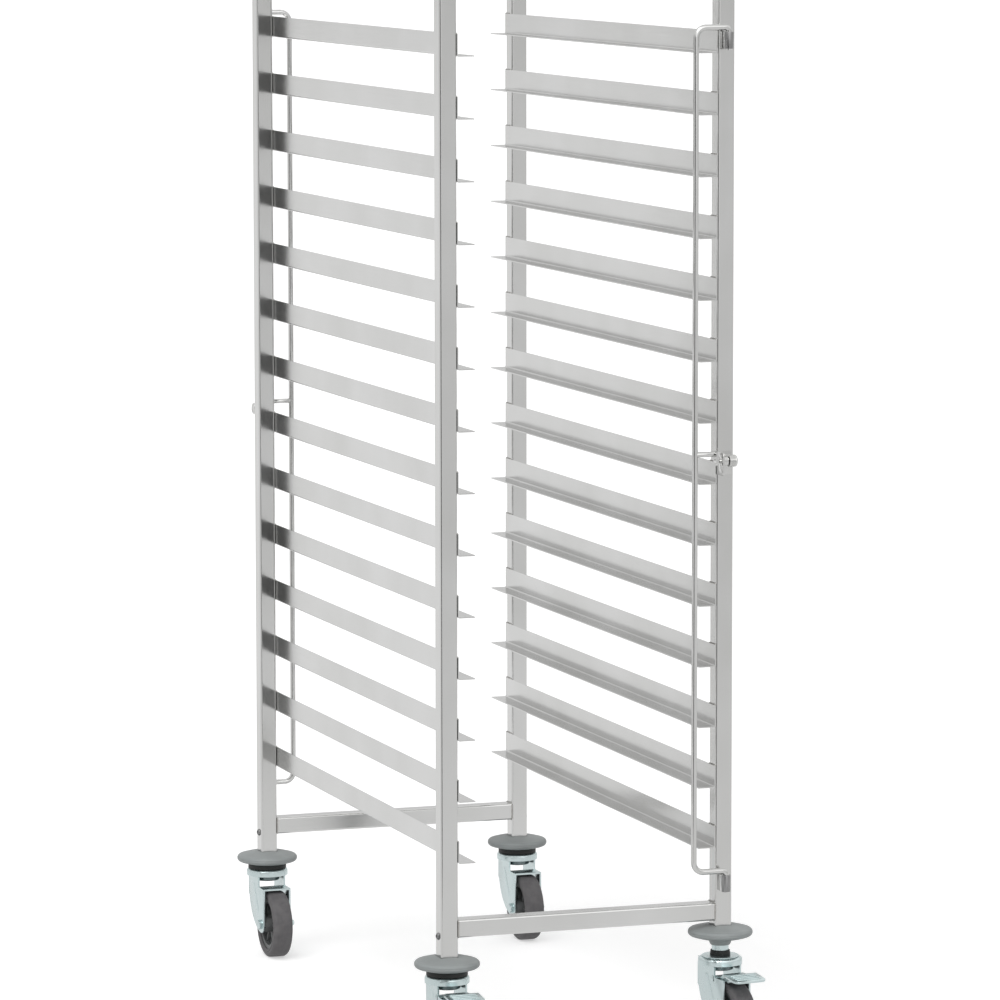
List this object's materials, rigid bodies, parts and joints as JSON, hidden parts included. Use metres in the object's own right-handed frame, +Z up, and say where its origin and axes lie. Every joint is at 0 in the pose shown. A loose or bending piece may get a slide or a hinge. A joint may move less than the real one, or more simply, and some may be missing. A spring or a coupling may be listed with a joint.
{
  "type": "tray trolley",
  "caption": "Upright stainless steel trolley that carries trays on paired side rails, with swivel castors, round bumpers and hinged retaining bars.",
  "frame": {"origin": "on the floor, below the middle of the whole trolley", "axes": "+X to the right and +Y to the rear, seen from the end with the brake pedals; +Z up"},
  "size_m": [0.494, 1.0063, 1.526],
  "materials": {
    "stainless_steel": "polished",
    "zinc_plated_steel": "satin",
    "bumper_plastic": "matte",
    "dark_plastic": "matte",
    "hub_plastic": "satin",
    "grey_rubber": "matte"
  },
  "bodies": {
    "frame": {"post_front_left": "stainless_steel", "post_front_right": "stainless_steel", "post_rear_left": "stainless_steel", "post_rear_right": "stainless_steel", "rail_pair_01": "stainless_steel", "rail_pair_02": "stainless_steel", "rail_pair_03": "stainless_steel", "rail_pair_04": "stainless_steel", "rail_pair_05": "stainless_steel", "rail_pair_06": "stainless_steel", "rail_pair_07": "stainless_steel", "rail_pair_08": "stainless_steel", "rail_pair_09": "stainless_steel", "rail_pair_10": "stainless_steel", "rail_pair_11": "stainless_steel", "rail_pair_12": "stainless_steel", "rail_pair_13": "stainless_steel", "rail_pair_14": "stainless_steel", "bottom_bar_front": "stainless_steel", "bottom_bar_rear": "stainless_steel", "top_bar_front": "stainless_steel", "top_bar_rear": "stainless_steel", "post_caps": "dark_plastic", "bumper_front_left": "bumper_plastic", "bumper_front_right": "bumper_plastic", "bumper_rear_left": "bumper_plastic", "bumper_rear_right": "bumper_plastic", "castor_stem_front_left": "zinc_plated_steel", "castor_stem_front_right": "zinc_plated_steel", "castor_stem_rear_left": "zinc_plated_steel", "castor_stem_rear_right": "zinc_plated_steel", "stem_screws": "stainless_steel", "bar_sleeves_front": "stainless_steel", "bar_sleeves_rear": "stainless_steel", "catch_bracket_front": "stainless_steel", "catch_bracket_rear": "stainless_steel"},
    "castor_front_left": {"fork_front_left": "zinc_plated_steel", "axle_front_left": "zinc_plated_steel", "pedal_rivet_left": "zinc_plated_steel"},
    "wheel_front_left": {"tyre_front_left": "grey_rubber", "hub_front_left": "hub_plastic"},
    "brake_pedal_left": {"brake_pedal_left": "zinc_plated_steel"},
    "castor_front_right": {"fork_front_right": "zinc_plated_steel", "axle_front_right": "zinc_plated_steel", "pedal_rivet_right": "zinc_plated_steel"},
    "wheel_front_right": {"tyre_front_right": "grey_rubber", "hub_front_right": "hub_plastic"},
    "brake_pedal_right": {"brake_pedal_right": "zinc_plated_steel"},
    "castor_rear_left": {"fork_rear_left": "zinc_plated_steel", "axle_rear_left": "zinc_plated_steel"},
    "wheel_rear_left": {"tyre_rear_left": "grey_rubber", "hub_rear_left": "hub_plastic"},
    "castor_rear_right": {"fork_rear_right": "zinc_plated_steel", "axle_rear_right": "zinc_plated_steel"},
    "wheel_rear_right": {"tyre_rear_right": "grey_rubber", "hub_rear_right": "hub_plastic"},
    "retaining_bar_front": {"retaining_bar_front": "stainless_steel"},
    "catch_knob_front": {"catch_knob_front": "zinc_plated_steel"},
    "retaining_bar_rear": {"retaining_bar_rear": "stainless_steel"},
    "catch_knob_rear": {"catch_knob_rear": "zinc_plated_steel"}
  },
  "joints": [
    {"name": "castor_front_left_swivel", "type": "hinge", "parent": "frame", "child": "castor_front_left", "pos_m": [-0.2015, -0.40775, 0.12], "axis": [0, 0, 1], "continuous": true},
    {"name": "wheel_front_left_spin", "type": "hinge", "parent": "castor_front_left", "child": "wheel_front_left", "pos_m": [-0.2015, -0.44575, 0.05], "axis": [1, 0, 0], "continuous": true},
    {"name": "brake_pedal_left_press", "type": "hinge", "parent": "castor_front_left", "child": "brake_pedal_left", "pos_m": [-0.2015, -0.42575, 0.103], "axis": [1, 0, 0], "range_deg": [0, 8]},
    {"name": "castor_front_right_swivel", "type": "hinge", "parent": "frame", "child": "castor_front_right", "pos_m": [0.2015, -0.40775, 0.12], "axis": [0, 0, 1], "continuous": true},
    {"name": "wheel_front_right_spin", "type": "hinge", "parent": "castor_front_right", "child": "wheel_front_right", "pos_m": [0.20547, -0.44554, 0.05], "axis": [0.9945, 0.1045, 0], "continuous": true},
    {"name": "brake_pedal_right_press", "type": "hinge", "parent": "castor_front_right", "child": "brake_pedal_right", "pos_m": [0.20338, -0.42565, 0.103], "axis": [0.9945, 0.1045, 0], "range_deg": [0, 8]},
    {"name": "castor_rear_left_swivel", "type": "hinge", "parent": "frame", "child": "castor_rear_left", "pos_m": [-0.2015, 0.45725, 0.12], "axis": [0, 0, 1], "continuous": true},
    {"name": "wheel_rear_left_spin", "type": "hinge", "parent": "castor_rear_left", "child": "wheel_rear_left", "pos_m": [-0.2015, 0.41925, 0.05], "axis": [1, 0, 0], "continuous": true},
    {"name": "castor_rear_right_swivel", "type": "hinge", "parent": "frame", "child": "castor_rear_right", "pos_m": [0.2015, 0.45725, 0.12], "axis": [0, 0, 1], "continuous": true},
    {"name": "wheel_rear_right_spin", "type": "hinge", "parent": "castor_rear_right", "child": "wheel_rear_right", "pos_m": [0.2015, 0.41925, 0.05], "axis": [1, 0, 0], "continuous": true},
    {"name": "retaining_bar_front_swing", "type": "hinge", "parent": "frame", "child": "retaining_bar_front", "pos_m": [0.199, -0.43525, 0.83], "axis": [0, 0, 1], "range_deg": [0, 200]},
    {"name": "catch_knob_front_pull", "type": "slide", "parent": "frame", "child": "catch_knob_front", "axis": [1, 0, 0], "range_m": [-0.008, 0]},
    {"name": "retaining_bar_rear_swing", "type": "hinge", "parent": "frame", "child": "retaining_bar_rear", "pos_m": [-0.199, 0.48475, 0.83], "axis": [0, 0, 1], "range_deg": [0, 200]},
    {"name": "catch_knob_rear_pull", "type": "slide", "parent": "frame", "child": "catch_knob_rear", "axis": [-1, 0, 0], "range_m": [-0.008, 0]}
  ]
}
